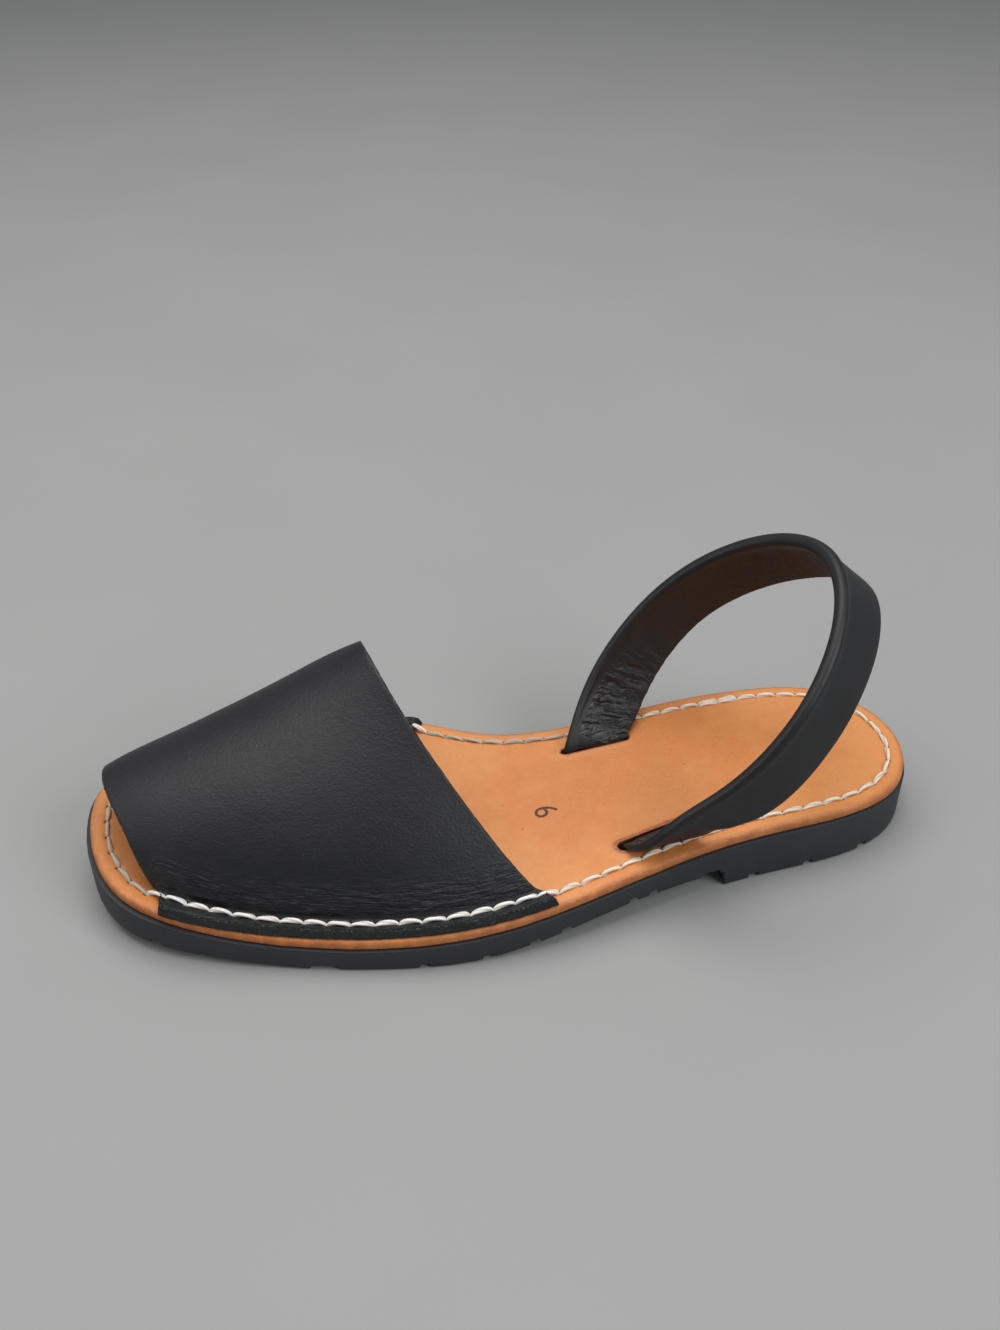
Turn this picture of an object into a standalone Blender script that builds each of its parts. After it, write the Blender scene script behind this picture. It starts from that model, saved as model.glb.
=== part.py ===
"""Left avarca sandal: a rubber outsole, a leather insole, a one-piece vamp and a heel strap.

Frame: +X to the toe, +Y to the outer (little toe) side, +Z up. The origin is on the floor,
under the middle of the sole. Tables hold shares of the named sizes that their lengths follow,
and "along" runs from 0 at the back of the heel to 1 at the tip of the toe.
"""
import math

import bmesh
import bpy
import numpy as np

# Sole and insole, in metres
SOLE_LENGTH = 0.2420
BALL_WIDTH = 0.0974
RUBBER_AT_BALL = 0.0071
HEEL_LIFT = 0.0078
TOE_LIFT = 0.0079
TOE_SPRING = 0.0040
WAIST_LIFT = 0.0056
HEEL_ROUNDING = 0.0012
GROOVE_DEPTH = 0.0013
GROOVE_WALL = 0.0003
RUBBER_BEVEL = 0.0006
INSOLE_THICKNESS = 0.0030
INSOLE_INSET = 0.0006
TOE_SETBACK = 0.0008
TOE_START = 0.80
INSOLE_EDGE_ROUNDING = 0.0011
CLEARANCE = 0.0003

# Upper
LEATHER_WALL = 0.0019
VAMP_HEIGHT = 0.0488
HEM_INSET = 0.0013
VAMP_INSET = 0.0087
HEM_SOFTNESS = 0.0024
CREST_SOFTNESS = 0.0045

# Heel strap and its two slots in the insole
STRAP_WIDTH = 0.0200
STRAP_THICKNESS = 0.0021
RIM_THICKNESS = 0.0042
STRAP_REACH = 0.0660
STRAP_SPREAD = 0.0385
STRAP_HEIGHT = 0.0705
STRAP_EXIT = 0.0013
SLOT_INSET = 0.0131
SLOT_WIDTH = 0.0034
SLOT_END_GAP = 0.0010
SLOT_SHIFT = 0.0003

# Fineness of the curves. The sole's stations keep END_TURN radians clear of its two round ends,
# and the vamp's sections are worked out at VAMP_STEP before they are thinned to the mesh
OUTLINE_SAMPLES = 1600
SOLE_STATIONS = 56
END_TURN = 0.02
SLOT_END_POINTS = 9
VAMP_ROWS = 23
VAMP_SAMPLES = 241
HEM_SAMPLES = 31
VAMP_STEP = 0.0004
ARCH_POINTS = 19
STRAP_ROWS = 57
RIM_POINTS = 6
SHARP_ANGLE = math.radians(35)

# The sole's outline, from the heel round the inner side to the toe and back along the outer side.
# Columns: along, across (share of the ball width, + to the outer side)
OUTLINE = (
    (0.000, -0.027),
    (0.021, -0.203),
    (0.071, -0.307),
    (0.150, -0.342),
    (0.250, -0.331),
    (0.354, -0.301),
    (0.438, -0.288),
    (0.513, -0.332),
    (0.583, -0.432),
    (0.683, -0.500),
    (0.792, -0.444),
    (0.896, -0.365),
    (0.958, -0.301),
    (0.992, -0.207),
    (1.000, -0.089),
    (0.992, 0.080),
    (0.958, 0.243),
    (0.896, 0.345),
    (0.792, 0.426),
    (0.675, 0.484),
    (0.575, 0.500),
    (0.467, 0.463),
    (0.333, 0.373),
    (0.200, 0.309),
    (0.092, 0.261),
    (0.029, 0.163),
)

# Height of the rubber's top over the ball. Columns: along, share of HEEL_LIFT, share of TOE_LIFT
FOOTBED = (
    (0.00, 0.90, 0.00),
    (0.15, 1.00, 0.00),
    (0.25, 0.96, 0.00),
    (0.40, 0.65, 0.00),
    (0.55, 0.21, 0.00),
    (0.65, 0.03, 0.00),
    (0.70, 0.00, 0.00),
    (0.76, 0.00, 0.05),
    (0.82, 0.00, 0.19),
    (0.90, 0.00, 0.52),
    (1.00, 0.00, 1.00),
)

# The rubber's underside in front of the heel. Columns: along, share of WAIST_LIFT, share of TOE_SPRING
UNDERSIDE = (
    (0.270, 0.93, 0.00),
    (0.320, 1.00, 0.00),
    (0.375, 1.00, 0.00),
    (0.420, 0.85, 0.00),
    (0.500, 0.38, 0.00),
    (0.560, 0.08, 0.00),
    (0.600, 0.00, 0.00),
    (0.740, 0.00, 0.00),
    (0.800, 0.00, 0.22),
    (0.860, 0.00, 0.50),
    (1.000, 0.00, 1.00),
)
HEEL_BREAST = 0.268
HEEL_BACK = 0.055

# Tread grooves across the underside. Columns: along (middle), width (share of the length)
GROOVES = (
    (0.084, 0.011),
    (0.158, 0.011),
    (0.229, 0.011),
    (0.286, 0.022),
    (0.359, 0.010),
    (0.385, 0.010),
    (0.467, 0.011),
    (0.504, 0.011),
    (0.558, 0.012),
    (0.629, 0.010),
    (0.739, 0.029),
    (0.867, 0.012),
    (0.921, 0.012),
)

# The insole's edge, from its top to its underside. Columns: inset and height, both in
# INSOLE_EDGE_ROUNDING, and what the height starts from (1 the top, 0 the underside)
INSOLE_EDGE = (
    (1.00, 0.00, 1),
    (0.30, -0.30, 1),
    (0.00, -1.00, 1),
    (0.00, 0.40, 0),
    (0.40, 0.00, 0),
)

# Sections of the vamp, from the toe opening to the throat. Columns: where the wall stands on the
# outer and inner side (along), where the hem ends there (along), crest height (share of VAMP_HEIGHT),
# crest place (0 inner side, 1 outer side), forward lean of the crest (share of the length),
# fullness of the outer and the inner side (2 is round, 1 is straight), how far the outer side sweeps
# back at its foot and bows forward halfway up (shares of the length), and the outer hem's distance
# from the rim (share of HEM_INSET)
VAMP = (
    (0.930, 0.964, 0.913, 0.967, 0.365, 0.49, 0.038, 2.05, 2.00, 0.000, -0.011, 0.0),
    (0.819, 0.871, 0.813, 0.873, 0.545, 0.46, 0.044, 1.85, 2.20, 0.000, -0.003, 0.7),
    (0.712, 0.777, 0.704, 0.777, 0.706, 0.41, 0.052, 1.65, 2.35, 0.000, 0.000, 1.0),
    (0.606, 0.684, 0.590, 0.681, 0.845, 0.36, 0.062, 1.45, 2.35, 0.003, 0.004, 0.9),
    (0.506, 0.590, 0.475, 0.583, 1.002, 0.31, 0.074, 1.25, 2.60, 0.017, 0.011, 0.5),
)
SWEEP_POWER = 5

# Points where the hem turns up into the wall, in HEM_SOFTNESS before and after the turn
HEM_TURN = (-1.7, -1.0, -0.4, 0.2, 0.8, 1.5, 2.4)

# Where the strap leaves the insole. Columns: side (+1 outer, -1 inner), front end of the slot (along),
# its distance from the rim (share of SLOT_INSET)
SLOTS = ((1, 0.377, 0.86), (-1, 0.421, 1.00))

# The strap's top edge between its slots, and the way its width falls from there. Columns: back
# (share of STRAP_REACH, from the slots' front ends), side (share of STRAP_SPREAD), rise (share of
# STRAP_HEIGHT over the insole), then the fall's parts backwards, outwards and downwards
STRAP = (
    (0.072, 0.838, 0.045, 0.99, -0.09, -0.05),
    (0.127, 0.915, 0.108, 0.97, -0.19, 0.05),
    (0.183, 0.950, 0.179, 0.94, -0.22, 0.25),
    (0.271, 0.968, 0.267, 0.83, -0.22, 0.51),
    (0.364, 0.975, 0.334, 0.76, -0.18, 0.62),
    (0.677, 0.904, 0.633, 0.66, -0.16, 0.73),
    (0.889, 0.551, 0.870, 0.67, -0.08, 0.74),
    (0.981, -0.031, 0.993, 0.75, 0.00, 0.65),
    (0.898, -0.574, 0.929, 0.68, -0.03, 0.73),
    (0.598, -0.951, 0.712, 0.62, 0.00, 0.79),
    (0.249, -0.943, 0.388, 0.82, -0.04, 0.57),
    (0.081, -0.751, 0.197, 0.92, -0.06, 0.38),
)

# Half of the strap's section below its rolled rim. Columns: place over the lower edge and distance
# from the middle, both in halves of STRAP_THICKNESS, and the share of the way up to the rim's centre
STRAP_EDGE = (
    (0.0, 0.45, 0.0),
    (0.4, 0.95, 0.0),
    (0.0, 1.00, 0.5),
)
RIM_GROWTH = 0.6
RIM_END = 0.12 * math.pi


def clear_scene():
    for item in list(bpy.data.objects):
        bpy.data.objects.remove(item, do_unlink=True)


def hermite(knots, values, slopes, places):
    """Cubic pieces through the values, with the given slopes at the knots."""
    index = np.clip(np.searchsorted(knots, places, side="right") - 1, 0, len(knots) - 2)
    step = (knots[index + 1] - knots[index])[:, None]
    t = (places - knots[index])[:, None] / step
    start = (1 + 2 * t) * (1 - t) ** 2 * values[index] + t * (1 - t) ** 2 * step * slopes[index]
    end = t * t * (3 - 2 * t) * values[index + 1] + t * t * (t - 1) * step * slopes[index + 1]
    return start + end


def distances(points):
    """The distance run along a row of points, from 0 at the first."""
    return np.concatenate([[0], np.cumsum(np.linalg.norm(np.diff(points, axis=0), axis=1))])


def spline(rows, knots, count, closed=False):
    """A smooth curve through the rows, which lie at the knots, as count rows at equal steps."""
    values = np.array(rows, float)
    knots = np.array(knots, float)
    size = len(values)
    step = np.diff(knots)[:, None]
    rate = np.diff(values, axis=0) / step
    matrix = np.zeros((size, size))
    right = np.zeros(values.shape)
    for i in range(1, size - 1):
        matrix[i, i - 1:i + 2] = (step[i, 0], 2 * (step[i - 1, 0] + step[i, 0]), step[i - 1, 0])
        right[i] = 3 * (step[i] * rate[i - 1] + step[i - 1] * rate[i])
    if closed:
        matrix[0, [size - 2, 0, 1]] = (step[0, 0], 2 * (step[-1, 0] + step[0, 0]), step[-1, 0])
        right[0] = 3 * (step[0] * rate[-1] + step[-1] * rate[0])
        matrix[-1, [0, -1]] = (1, -1)
    else:
        matrix[0, :2] = (2, 1)
        right[0] = 3 * rate[0]
        matrix[-1, -2:] = (1, 2)
        right[-1] = 3 * rate[-1]
    slopes = np.linalg.solve(matrix, right)
    return hermite(knots, values, slopes, np.linspace(knots[0], knots[-1], count))


def monotone(table, places):
    """A curve through a table whose first column is the place, which never overshoots a row."""
    table = np.array(table, float)
    knots = table[:, 0]
    values = table[:, 1:]
    rate = np.diff(values, axis=0) / np.diff(knots)[:, None]
    slopes = np.zeros(values.shape)
    same_way = rate[:-1] * rate[1:] > 0
    mean = 2 * rate[:-1] * rate[1:] / np.where(same_way, rate[:-1] + rate[1:], 1)
    slopes[1:-1] = np.where(same_way, mean, 0)
    slopes[0] = rate[0]
    slopes[-1] = rate[-1]
    return hermite(knots, values, slopes, np.clip(places, knots[0], knots[-1]))


def to_x(along):
    return (np.asarray(along, float) - 0.5) * SOLE_LENGTH


def to_along(x):
    return np.asarray(x, float) / SOLE_LENGTH + 0.5


def outline_curve():
    """The insole's outline as many points, stretched to the exact length and width."""
    rows = np.array(OUTLINE + OUTLINE[:1]) * (SOLE_LENGTH, BALL_WIDTH)
    curve = spline(rows, distances(rows), OUTLINE_SAMPLES + 1, closed=True)
    low = curve.min(axis=0)
    span = curve.max(axis=0) - low
    return ((curve - low) / span - 0.5) * (SOLE_LENGTH, BALL_WIDTH)


def rim_sides():
    """The outline's inner and outer side, each sorted by x, with its inward normals."""
    curve = outline_curve()
    tangent = np.gradient(curve, axis=0)
    tangent /= np.linalg.norm(tangent, axis=1)[:, None]
    inward = np.stack([-tangent[:, 1], tangent[:, 0]], axis=1)
    heel = int(curve[:, 0].argmin()) % OUTLINE_SAMPLES
    order = (np.arange(OUTLINE_SAMPLES + 1) + heel) % OUTLINE_SAMPLES
    curve = curve[order]
    inward = inward[order]
    toe = int(curve[:, 0].argmax())
    inner = np.hstack([curve[:toe + 1], inward[:toe + 1]])
    outer = np.hstack([curve[toe:], inward[toe:]])[::-1]
    return {-1: inner, 1: outer}


RIM = rim_sides()


def rim_point(side, x, inset):
    """The rim's points at x on one side, moved inwards."""
    edge = RIM[side]
    across, inward_x, inward_y = [np.interp(x, edge[:, 0], edge[:, i]) for i in range(1, 4)]
    return np.stack([x + inward_x * inset, across + inward_y * inset], axis=-1)


def rubber_top(x):
    lift = monotone(FOOTBED, np.atleast_1d(to_along(x)))
    return RUBBER_AT_BALL + HEEL_LIFT * lift[:, 0] + TOE_LIFT * lift[:, 1]


def insole_top(x):
    return rubber_top(x) + CLEARANCE + INSOLE_THICKNESS


def rubber_under(x):
    """The underside without its grooves: heel block, arch, flat ball and toe spring."""
    along = np.atleast_1d(to_along(x))
    lift = monotone(UNDERSIDE, along)
    front = WAIST_LIFT * lift[:, 0] + TOE_SPRING * lift[:, 1]
    back = HEEL_ROUNDING * np.clip(1 - along / HEEL_BACK, 0, 1) ** 2
    return np.where(along < HEEL_BREAST, back, front)


def end_spaced(count):
    """Places along the sole that close up towards its two round ends."""
    turn = np.linspace(END_TURN, math.pi - END_TURN, count)
    return -0.5 * SOLE_LENGTH * np.cos(turn)


def loft(name, rings, material):
    """One closed solid through rings of equal count, whose two halves face each other."""
    mesh = bmesh.new()
    rows = [[mesh.verts.new(point) for point in ring] for ring in rings]
    count = len(rows[0])
    for below, above in zip(rows, rows[1:]):
        for i in range(count):
            j = (i + 1) % count
            mesh.faces.new((below[i], below[j], above[j], above[i]))
    for row in (rows[0], rows[-1]):
        for i in range(count // 2 - 1):
            mesh.faces.new((row[i], row[i + 1], row[count - 2 - i], row[count - 1 - i]))
    bmesh.ops.recalc_face_normals(mesh, faces=mesh.faces)
    data = bpy.data.meshes.new(name)
    mesh.to_mesh(data)
    mesh.free()
    data.shade_smooth()
    data.set_sharp_from_angle(angle=SHARP_ANGLE)
    item = bpy.data.objects.new(name, data)
    bpy.context.scene.collection.objects.link(item)
    if material:
        data.materials.append(material)
    return item


def finish(name, colour, roughness):
    material = bpy.data.materials.new(name)
    material.use_nodes = True
    shader = material.node_tree.nodes["Principled BSDF"]
    shader.inputs["Base Color"].default_value = (*colour, 1)
    shader.inputs["Roughness"].default_value = roughness
    shader.inputs["Metallic"].default_value = 0
    return material


def rim_ring(stations, inset):
    """A ring round the sole: the inner side from heel to toe, then the outer side back."""
    return np.vstack([rim_point(-1, stations, inset), rim_point(1, stations, inset)[::-1]])


def tread_stations():
    """Stations of the outsole with its underside there: grooves and heel breast are pairs."""
    plain = end_spaced(SOLE_STATIONS)
    stations = []
    heights = []
    keep = np.ones(len(plain), bool)
    for middle, width in GROOVES:
        centre = to_x(middle)
        half = 0.5 * width * SOLE_LENGTH
        keep &= abs(plain - centre) > half + 2 * GROOVE_WALL
        mouth = rubber_under(centre + np.array([-half - GROOVE_WALL, half + GROOVE_WALL]))
        roof = rubber_under(centre + np.array([-half, half])) + GROOVE_DEPTH
        stations += [centre - half - GROOVE_WALL, centre - half, centre + half, centre + half + GROOVE_WALL]
        heights += [mouth[0], roof[0], roof[1], mouth[1]]
    breast = to_x(HEEL_BREAST)
    keep &= abs(plain - breast) > 2 * GROOVE_WALL
    for place in (breast - GROOVE_WALL, breast + GROOVE_WALL):
        stations.append(place)
        heights.append(rubber_under(place)[0])
    stations += list(plain[keep])
    heights += list(rubber_under(plain[keep]))
    order = np.argsort(stations)
    return np.array(stations)[order], np.array(heights)[order]


def make_outsole():
    """Moulded rubber: upright sides, arch, heel block and tread grooves."""
    stations, under = tread_stations()
    under = np.concatenate([under, under[::-1]])
    rim = rim_ring(stations, 0.0)
    rings = [
        np.column_stack([rim, rubber_top(rim[:, 0])]),
        np.column_stack([rim, under + RUBBER_BEVEL]),
        np.column_stack([rim_ring(stations, RUBBER_BEVEL), under]),
    ]
    return loft("outsole", rings, finish("charcoal_rubber", (0.026, 0.027, 0.029), 0.62))


def slot_line(side, front, inset):
    """The slot's front end and its direction towards the heel, parallel to the rim."""
    x = to_x(front)
    near, far = rim_point(side, np.array([x, x - STRAP_WIDTH]), inset * SLOT_INSET)
    return near, (far - near) / np.linalg.norm(far - near)


def slot_cutter(side, front, inset):
    """A prism with round ends, a little longer than the strap is wide and nearer to the inner side."""
    start, way = slot_line(side, front, inset)
    inwards = side * np.array([-way[1], way[0]])
    radius = 0.5 * SLOT_WIDTH
    first = start + way * (radius - SLOT_END_GAP) + side * SLOT_SHIFT * inwards
    second = first + way * (STRAP_WIDTH + 2 * SLOT_END_GAP - SLOT_WIDTH)
    outline = []
    for centre, turned in ((first, 1), (second, -1)):
        for turn in np.linspace(0, math.pi, SLOT_END_POINTS):
            outline.append(centre + turned * radius * (math.cos(turn) * inwards - math.sin(turn) * way))
    low = float(rubber_top(start[0])[0]) - INSOLE_THICKNESS
    high = low + 4 * INSOLE_THICKNESS
    rings = [[(*point, height) for point in outline] for height in (low, high)]
    cutter = loft("slot_cutter", rings, None)
    cutter.hide_render = True
    cutter.display_type = "WIRE"
    return cutter


def make_insole():
    """Thick vegetable-tanned leather with a burnished, rounded edge and two slots."""
    stations = end_spaced(SOLE_STATIONS)
    toe = np.clip((to_along(stations) - TOE_START) / (1 - TOE_START), 0, 1)
    edge = INSOLE_INSET + TOE_SETBACK * toe
    rings = []
    for inset, height, start in INSOLE_EDGE:
        rim = rim_ring(stations, edge + inset * INSOLE_EDGE_ROUNDING)
        rise = height * INSOLE_EDGE_ROUNDING - (1 - start) * INSOLE_THICKNESS
        rings.append(np.column_stack([rim, insole_top(rim[:, 0]) + rise]))
    insole = loft("insole", rings, finish("tan_leather", (0.62, 0.27, 0.085), 0.55))
    for side, front, inset in SLOTS:
        cut = insole.modifiers.new("slot", "BOOLEAN")
        cut.operation = "DIFFERENCE"
        cut.solver = "EXACT"
        cut.object = slot_cutter(side, front, inset)
    return insole


def vamp_section(row):
    """One section of the vamp's inner face: hem, wall, crest, wall, hem, as many points."""
    outer_x, inner_x = to_x(row[0]), to_x(row[1])
    outer_hem, inner_hem = to_x(row[2]), to_x(row[3])
    height = row[4] * VAMP_HEIGHT
    crest, lean, outer_full, inner_full = row[5], row[6] * SOLE_LENGTH, row[7], row[8]
    sweep, bow = row[9] * SOLE_LENGTH, row[10] * SOLE_LENGTH
    outer_inset = row[11] * HEM_INSET
    feet = []
    for side, x, hem, inset in ((1, outer_x, outer_hem, outer_inset), (-1, inner_x, inner_hem, HEM_INSET)):
        foot = rim_point(side, np.array([x]), VAMP_INSET)[0]
        edge = rim_point(side, np.array([hem]), inset)[0]
        feet.append([np.append(p, insole_top(p[0]) + CLEARANCE) for p in (foot, edge)])
    (outer_foot, outer_edge), (inner_foot, inner_edge) = feet
    turn = np.linspace(0, math.pi, VAMP_SAMPLES)
    full = np.where(turn < 0.5 * math.pi, outer_full, inner_full)
    reach = np.abs(np.cos(turn)) ** (2 / full)
    share = np.where(turn < 0.5 * math.pi, crest + (1 - crest) * reach, crest - crest * reach)
    rise = np.abs(np.sin(turn)) ** (2 / full)
    forward = bow * rise * np.sin(2 * turn) - sweep * (1 - rise) ** SWEEP_POWER
    forward = lean * rise + np.where(turn < 0.5 * math.pi, forward, 0)
    arch = inner_foot + (outer_foot - inner_foot) * share[:, None]
    arch = arch + np.stack([forward, 0 * rise, height * rise], axis=1)
    arch = soften(evenly(arch, VAMP_STEP)[0], CREST_SOFTNESS, VAMP_STEP)
    blend = np.linspace(0, 1, HEM_SAMPLES)[:, None]
    outer_part = outer_edge + (arch[0] - outer_edge) * blend
    inner_part = inner_foot + (inner_edge - inner_foot) * blend
    return np.vstack([outer_part[:-1], arch, inner_part[1:]])


def evenly(points, step):
    """The polyline at equal steps, with its length."""
    length = distances(points)
    places = np.linspace(0, length[-1], max(2, int(length[-1] / step)))
    return np.stack([np.interp(places, length, points[:, i]) for i in range(3)], axis=1), length[-1]


def soften(points, radius, step):
    """Round the polyline's corners, with its ends kept."""
    reach = int(4 * radius / step)
    weight = np.exp(-0.5 * (np.arange(-reach, reach + 1) * step / radius) ** 2)
    weight /= weight.sum()
    before = 2 * points[0] - points[reach:0:-1]
    after = 2 * points[-1] - points[-2:-reach - 2:-1]
    padded = np.vstack([before, points, after])
    return np.stack([np.convolve(padded[:, i], weight, mode="valid") for i in range(3)], axis=1)


def vamp_places(length):
    """Places along a section, closer where the hem turns up into the wall."""
    turn_up = VAMP_INSET - HEM_INSET + HEM_SOFTNESS * np.array(HEM_TURN)
    side = np.concatenate([[0, 0.5 * turn_up[0]], turn_up])
    arch = np.linspace(side[-1], length - side[-1], ARCH_POINTS + 2)[1:-1]
    return np.concatenate([side, arch, (length - side)[::-1]])


def vamp_faces():
    """The vamp's inner face as a grid, and the outer face one wall thickness away."""
    rows = spline(VAMP, range(len(VAMP)), VAMP_ROWS)
    grid = []
    for row in rows:
        points, length = evenly(vamp_section(row), VAMP_STEP)
        points = soften(points, HEM_SOFTNESS, VAMP_STEP)
        points[:, 2] = np.maximum(points[:, 2], insole_top(points[:, 0]) + CLEARANCE)
        run = np.linspace(0, length, len(points))
        grid.append(np.stack([np.interp(vamp_places(length), run, points[:, i]) for i in range(3)], axis=1))
    inner = np.array(grid)
    along, over = np.gradient(inner, axis=(0, 1))
    normal = np.cross(along, over)
    normal /= np.linalg.norm(normal, axis=2)[:, :, None]
    if normal[VAMP_ROWS // 2, inner.shape[1] // 2, 2] < 0:
        normal = -normal
    return inner, inner + LEATHER_WALL * normal


def make_upper():
    """One piece of leather, lasted to an arch and turned outwards all along both sides."""
    inner, outer = vamp_faces()
    rings = [np.vstack([inside, outside[::-1]]) for inside, outside in zip(inner, outer)]
    return loft("upper", rings, finish("black_leather", (0.016, 0.017, 0.020), 0.42))


def strap_edges():
    """The strap's top edge and the direction of its width, from the outer slot to the inner one."""
    feet = {}
    for side, front, inset in SLOTS:
        start, way = slot_line(side, front, inset)
        ends = np.array([start, start + STRAP_WIDTH * way])
        ends = np.column_stack([ends, insole_top(ends[:, 0]) + STRAP_EXIT])
        feet[side] = (ends[0], (ends[1] - ends[0]) / STRAP_WIDTH)
    front_x = 0.5 * (feet[1][0][0] + feet[-1][0][0])
    seat = 0.5 * (feet[1][0][2] + feet[-1][0][2]) - STRAP_EXIT
    edge = [feet[1][0]]
    fall = [feet[1][1]]
    for back, side, rise, behind, outward, down in STRAP:
        edge.append((front_x - back * STRAP_REACH, side * STRAP_SPREAD, seat + rise * STRAP_HEIGHT))
        fall.append((-behind, outward * math.copysign(1, side), -down))
    edge.append(feet[-1][0])
    fall.append(feet[-1][1])
    run = distances(np.array(edge))
    top = spline(edge, run, STRAP_ROWS)
    way = spline(fall, run, STRAP_ROWS)
    return top, way / np.linalg.norm(way, axis=1)[:, None]


def strap_profile(share):
    """Half of the strap's section: width and thickness from its lower edge to its rolled rim."""
    half = 0.5 * STRAP_THICKNESS
    swell = math.sin(math.pi * share) ** RIM_GROWTH
    rim = half + (0.5 * RIM_THICKNESS - half) * swell
    centre = STRAP_WIDTH - rim
    neck = math.asin(half / rim)
    points = [(place * half + up * centre, thick * half) for place, thick, up in STRAP_EDGE]
    for turn in np.linspace(math.pi - neck, RIM_END, RIM_POINTS):
        points.append((centre + rim * math.cos(turn), rim * math.sin(turn)))
    return points


def make_heel_strap():
    """A folded leather band with a rolled top rim, its ends down in the insole's slots."""
    top, way = strap_edges()
    middle = top + 0.5 * STRAP_WIDTH * way
    tangent = np.gradient(middle, axis=0)
    face = np.cross(tangent, way)
    face[0] = np.cross(way[0], (0, 0, 1))
    face[-1] = np.cross(way[-1], (0, 0, -1))
    face /= np.linalg.norm(face, axis=1)[:, None]
    if face[STRAP_ROWS // 2][0] > 0:
        face = -face
    for end, near in ((0, 1), (-1, -2)):
        if np.dot(face[end], face[near]) < 0:
            face[end] = -face[end]
    rings = []
    for i, share in enumerate(np.linspace(0, 1, STRAP_ROWS)):
        profile = strap_profile(share)
        low = top[i] + STRAP_WIDTH * way[i]
        outside = [low - way[i] * w + face[i] * t for w, t in profile]
        inside = [low - way[i] * w - face[i] * t for w, t in profile]
        rings.append(np.array(outside + inside[::-1]))
    for end in (0, -1):
        foot = rings[end].copy()
        foot[:, 2] = rubber_top(foot[:, 0]) + CLEARANCE
        rings.insert(0 if end == 0 else len(rings), foot)
    return loft("heel_strap", rings, finish("strap_leather", (0.013, 0.013, 0.014), 0.45))


def main():
    clear_scene()
    make_outsole()
    make_insole()
    make_upper()
    make_heel_strap()


main()
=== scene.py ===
import math
import random

import bmesh
import bpy
import numpy as np
from mathutils import Matrix, Vector, noise
from mathutils.bvhtree import BVHTree
from mathutils.kdtree import KDTree


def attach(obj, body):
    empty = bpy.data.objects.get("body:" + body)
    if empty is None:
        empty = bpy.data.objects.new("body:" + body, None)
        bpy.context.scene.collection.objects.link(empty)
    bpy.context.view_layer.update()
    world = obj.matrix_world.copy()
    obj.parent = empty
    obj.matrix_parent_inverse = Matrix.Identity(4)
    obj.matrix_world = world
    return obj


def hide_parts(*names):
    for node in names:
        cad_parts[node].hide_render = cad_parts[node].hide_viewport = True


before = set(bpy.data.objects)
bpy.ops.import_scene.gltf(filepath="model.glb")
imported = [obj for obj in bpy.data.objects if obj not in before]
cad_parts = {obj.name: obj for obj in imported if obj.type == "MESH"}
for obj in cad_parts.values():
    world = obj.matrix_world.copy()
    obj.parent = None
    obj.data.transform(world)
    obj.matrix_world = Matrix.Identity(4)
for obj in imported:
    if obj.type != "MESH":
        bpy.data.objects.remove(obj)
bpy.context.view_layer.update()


# Outsole. One moulding of charcoal rubber with a low heel, an arch and shallow grooves across its
# tread. It is cemented under the insole and its sides are ground flush with a wheel, so they are
# matt, with a little dust and fine rubbing marks.

RUBBER_COLOUR = (0.020, 0.021, 0.024, 1)
RUBBER_DUST = (0.062, 0.062, 0.064, 1)
RUBBER_CORNER = 0.00014
RUBBER_CORNER_DEGREES = 30


class Wire:
    """A socket of a material: arithmetic adds Math nodes, and node() adds a node of any other kind."""

    def __init__(self, tree, socket=None):
        self.tree = tree
        self.socket = socket

    def node(self, kind, settings=(), sockets=(), output=0):
        made = self.tree.nodes.new("ShaderNode" + kind)
        for name, value in dict(settings).items():
            setattr(made, name, value)
        for name, value in dict(sockets).items():
            if isinstance(value, Wire):
                self.tree.links.new(value.socket, made.inputs[name])
            else:
                made.inputs[name].default_value = value
        return Wire(self.tree, made.outputs[output])

    def __add__(self, other):
        return self.node("Math", {"operation": "ADD"}, {0: self, 1: other})

    def __sub__(self, other):
        return self.node("Math", {"operation": "SUBTRACT"}, {0: self, 1: other})

    def __rsub__(self, other):
        return self.node("Math", {"operation": "SUBTRACT"}, {0: other, 1: self})

    def __mul__(self, other):
        return self.node("Math", {"operation": "MULTIPLY"}, {0: self, 1: other})

    __radd__ = __add__
    __rmul__ = __mul__

    def between(self, low, high):
        """0 up to low, 1 from high on, and smooth between them."""
        sockets = {"Value": self, "From Min": low, "From Max": high}
        return self.node("MapRange", {"interpolation_type": "SMOOTHSTEP"}, sockets)

    def mix(self, first, second):
        """The first colour where this is 0, and the second where it is 1."""
        return self.node("Mix", {"data_type": "RGBA"}, {0: self, 6: first, 7: second}, output=2)

    def stretched(self, x, y, z):
        return self.node("VectorMath", {"operation": "MULTIPLY"}, {0: self, 1: (x, y, z)})

    def noise(self, per_metre, detail=2.0, roughness=0.5):
        sockets = {"Vector": self, "Scale": per_metre, "Detail": detail, "Roughness": roughness}
        return self.node("TexNoise", {}, sockets)

    def into(self, shader, name):
        self.tree.links.new(self.socket, shader.inputs[name])

    def bump_into(self, shader):
        """This is a height in metres over the surface."""
        self.node("Bump", {}, {"Height": self, "Distance": 1.0, "Strength": 1.0}).into(shader, "Normal")


def new_finish(name):
    """A material, its Principled shader and a wire that carries its Object coordinates."""
    material = bpy.data.materials.new(name)
    material.use_nodes = True
    shader = material.node_tree.nodes["Principled BSDF"]
    return material, shader, Wire(material.node_tree).node("TexCoord", output="Object")


def merged_copy(node):
    """The shape of a CAD node, with its loose triangles joined up."""
    shape = bmesh.new()
    shape.from_mesh(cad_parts[node].data)
    bmesh.ops.remove_doubles(shape, verts=shape.verts, dist=0.000005)
    shape.normal_update()
    return shape


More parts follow.
